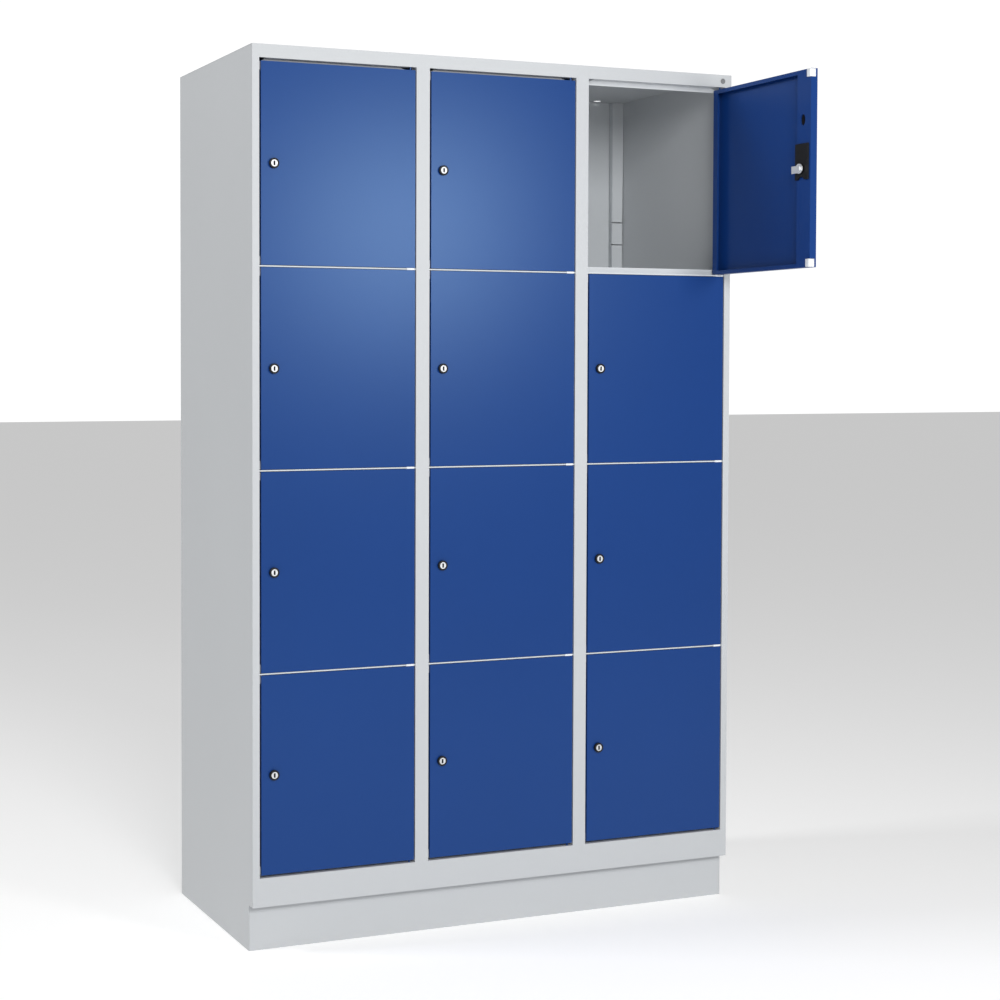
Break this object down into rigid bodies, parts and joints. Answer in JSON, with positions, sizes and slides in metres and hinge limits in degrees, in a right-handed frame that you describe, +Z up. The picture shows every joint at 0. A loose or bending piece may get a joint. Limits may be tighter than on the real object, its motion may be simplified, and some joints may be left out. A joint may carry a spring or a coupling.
{
  "type": "coin operated locker",
  "caption": "Sheet-steel locker bank on a recessed plinth: a grey cabinet with stacked compartments behind inset blue doors, each on hinge pins and with a key lock and turning latch.",
  "frame": {"origin": "centre of the bounding box, the open door included, at floor level", "axes": "+X to the right along the front, +Y from the front to the back, +Z up"},
  "size_m": [1.2, 0.8468, 1.95],
  "materials": {
    "cabinet_grey": "light grey powder coat, fine texture, satin",
    "interior_grey": "light grey powder coat, fine texture, satin",
    "door_blue": "dark blue powder coat, fine texture, satin gloss",
    "lock_black": "moulded black plastic, satin",
    "latch_steel": "bright nickel plate",
    "buffer_white": "moulded off-white plastic, matt"
  },
  "bodies": {
    "cabinet": {"side_panel_left": "cabinet_grey", "side_panel_right": "cabinet_grey", "top_panel": "cabinet_grey", "back_panel": "interior_grey", "plinth_front": "cabinet_grey", "plinth_rear": "cabinet_grey", "front_frame": "cabinet_grey", "base_panel": "interior_grey", "partition_left": "interior_grey", "partition_right": "interior_grey", "rear_channel_left": "interior_grey", "rear_channel_middle": "interior_grey", "rear_channel_right": "interior_grey", "shelf_left_1": "interior_grey", "shelf_left_2": "interior_grey", "shelf_left_3": "interior_grey", "shelf_middle_1": "interior_grey", "shelf_middle_2": "interior_grey", "shelf_middle_3": "interior_grey", "shelf_right_1": "interior_grey", "shelf_right_2": "interior_grey", "shelf_right_3": "interior_grey"},
    "door_left_1": {"door_left_1": "door_blue", "lock_body_left_1": "lock_black"},
    "latch_left_1": {"latch_left_1": "latch_steel"},
    "door_left_2": {"door_left_2": "door_blue", "lock_body_left_2": "lock_black"},
    "latch_left_2": {"latch_left_2": "latch_steel"},
    "door_left_3": {"door_left_3": "door_blue", "lock_body_left_3": "lock_black"},
    "latch_left_3": {"latch_left_3": "latch_steel"},
    "door_left_4": {"door_left_4": "door_blue", "lock_body_left_4": "lock_black"},
    "latch_left_4": {"latch_left_4": "latch_steel"},
    "door_middle_1": {"door_middle_1": "door_blue", "lock_body_middle_1": "lock_black"},
    "latch_middle_1": {"latch_middle_1": "latch_steel"},
    "door_middle_2": {"door_middle_2": "door_blue", "lock_body_middle_2": "lock_black"},
    "latch_middle_2": {"latch_middle_2": "latch_steel"},
    "door_middle_3": {"door_middle_3": "door_blue", "lock_body_middle_3": "lock_black"},
    "latch_middle_3": {"latch_middle_3": "latch_steel"},
    "door_middle_4": {"door_middle_4": "door_blue", "lock_body_middle_4": "lock_black"},
    "latch_middle_4": {"latch_middle_4": "latch_steel"},
    "door_right_1": {"door_right_1": "door_blue", "lock_body_right_1": "lock_black", "buffer_upper_right_1": "buffer_white", "buffer_lower_right_1": "buffer_white"},
    "latch_right_1": {"latch_right_1": "latch_steel"},
    "door_right_2": {"door_right_2": "door_blue", "lock_body_right_2": "lock_black"},
    "latch_right_2": {"latch_right_2": "latch_steel"},
    "door_right_3": {"door_right_3": "door_blue", "lock_body_right_3": "lock_black"},
    "latch_right_3": {"latch_right_3": "latch_steel"},
    "door_right_4": {"door_right_4": "door_blue", "lock_body_right_4": "lock_black"},
    "latch_right_4": {"latch_right_4": "latch_steel"}
  },
  "joints": [
    {"name": "door_left_1_hinge", "type": "hinge", "parent": "cabinet", "child": "door_left_1", "pos_m": [-0.228, -0.07005, 1.69795], "axis": [0, 0, 1], "range_deg": [0, 110]},
    {"name": "latch_left_1_turn", "type": "hinge", "parent": "door_left_1", "child": "latch_left_1", "pos_m": [-0.5515, -0.07005, 1.69795], "axis": [0, 1, 0], "range_deg": [0, 180]},
    {"name": "door_left_2_hinge", "type": "hinge", "parent": "cabinet", "child": "door_left_2", "pos_m": [-0.228, -0.07005, 1.26045], "axis": [0, 0, 1], "range_deg": [0, 110]},
    {"name": "latch_left_2_turn", "type": "hinge", "parent": "door_left_2", "child": "latch_left_2", "pos_m": [-0.5515, -0.07005, 1.26045], "axis": [0, 1, 0], "range_deg": [0, 180]},
    {"name": "door_left_3_hinge", "type": "hinge", "parent": "cabinet", "child": "door_left_3", "pos_m": [-0.228, -0.07005, 0.82295], "axis": [0, 0, 1], "range_deg": [0, 110]},
    {"name": "latch_left_3_turn", "type": "hinge", "parent": "door_left_3", "child": "latch_left_3", "pos_m": [-0.5515, -0.07005, 0.82295], "axis": [0, 1, 0], "range_deg": [0, 180]},
    {"name": "door_left_4_hinge", "type": "hinge", "parent": "cabinet", "child": "door_left_4", "pos_m": [-0.228, -0.07005, 0.38545], "axis": [0, 0, 1], "range_deg": [0, 110]},
    {"name": "latch_left_4_turn", "type": "hinge", "parent": "door_left_4", "child": "latch_left_4", "pos_m": [-0.5515, -0.07005, 0.38545], "axis": [0, 1, 0], "range_deg": [0, 180]},
    {"name": "door_middle_1_hinge", "type": "hinge", "parent": "cabinet", "child": "door_middle_1", "pos_m": [0.172, -0.07005, 1.69795], "axis": [0, 0, 1], "range_deg": [0, 110]},
    {"name": "latch_middle_1_turn", "type": "hinge", "parent": "door_middle_1", "child": "latch_middle_1", "pos_m": [-0.1515, -0.07005, 1.69795], "axis": [0, 1, 0], "range_deg": [0, 180]},
    {"name": "door_middle_2_hinge", "type": "hinge", "parent": "cabinet", "child": "door_middle_2", "pos_m": [0.172, -0.07005, 1.26045], "axis": [0, 0, 1], "range_deg": [0, 110]},
    {"name": "latch_middle_2_turn", "type": "hinge", "parent": "door_middle_2", "child": "latch_middle_2", "pos_m": [-0.1515, -0.07005, 1.26045], "axis": [0, 1, 0], "range_deg": [0, 180]},
    {"name": "door_middle_3_hinge", "type": "hinge", "parent": "cabinet", "child": "door_middle_3", "pos_m": [0.172, -0.07005, 0.82295], "axis": [0, 0, 1], "range_deg": [0, 110]},
    {"name": "latch_middle_3_turn", "type": "hinge", "parent": "door_middle_3", "child": "latch_middle_3", "pos_m": [-0.1515, -0.07005, 0.82295], "axis": [0, 1, 0], "range_deg": [0, 180]},
    {"name": "door_middle_4_hinge", "type": "hinge", "parent": "cabinet", "child": "door_middle_4", "pos_m": [0.172, -0.07005, 0.38545], "axis": [0, 0, 1], "range_deg": [0, 110]},
    {"name": "latch_middle_4_turn", "type": "hinge", "parent": "door_middle_4", "child": "latch_middle_4", "pos_m": [-0.1515, -0.07005, 0.38545], "axis": [0, 1, 0], "range_deg": [0, 180]},
    {"name": "door_right_1_hinge", "type": "hinge", "parent": "cabinet", "child": "door_right_1", "pos_m": [0.572, -0.07005, 1.69795], "axis": [0, 0, 1], "range_deg": [-91, 19]},
    {"name": "latch_right_1_turn", "type": "hinge", "parent": "door_right_1", "child": "latch_right_1", "pos_m": [0.57765, -0.3935, 1.69795], "axis": [-0.9998, -0.0175, 0], "range_deg": [0, 180]},
    {"name": "door_right_2_hinge", "type": "hinge", "parent": "cabinet", "child": "door_right_2", "pos_m": [0.572, -0.07005, 1.26045], "axis": [0, 0, 1], "range_deg": [0, 110]},
    {"name": "latch_right_2_turn", "type": "hinge", "parent": "door_right_2", "child": "latch_right_2", "pos_m": [0.2485, -0.07005, 1.26045], "axis": [0, 1, 0], "range_deg": [0, 180]},
    {"name": "door_right_3_hinge", "type": "hinge", "parent": "cabinet", "child": "door_right_3", "pos_m": [0.572, -0.07005, 0.82295], "axis": [0, 0, 1], "range_deg": [0, 110]},
    {"name": "latch_right_3_turn", "type": "hinge", "parent": "door_right_3", "child": "latch_right_3", "pos_m": [0.2485, -0.07005, 0.82295], "axis": [0, 1, 0], "range_deg": [0, 180]},
    {"name": "door_right_4_hinge", "type": "hinge", "parent": "cabinet", "child": "door_right_4", "pos_m": [0.572, -0.07005, 0.38545], "axis": [0, 0, 1], "range_deg": [0, 110]},
    {"name": "latch_right_4_turn", "type": "hinge", "parent": "door_right_4", "child": "latch_right_4", "pos_m": [0.2485, -0.07005, 0.38545], "axis": [0, 1, 0], "range_deg": [0, 180]}
  ]
}
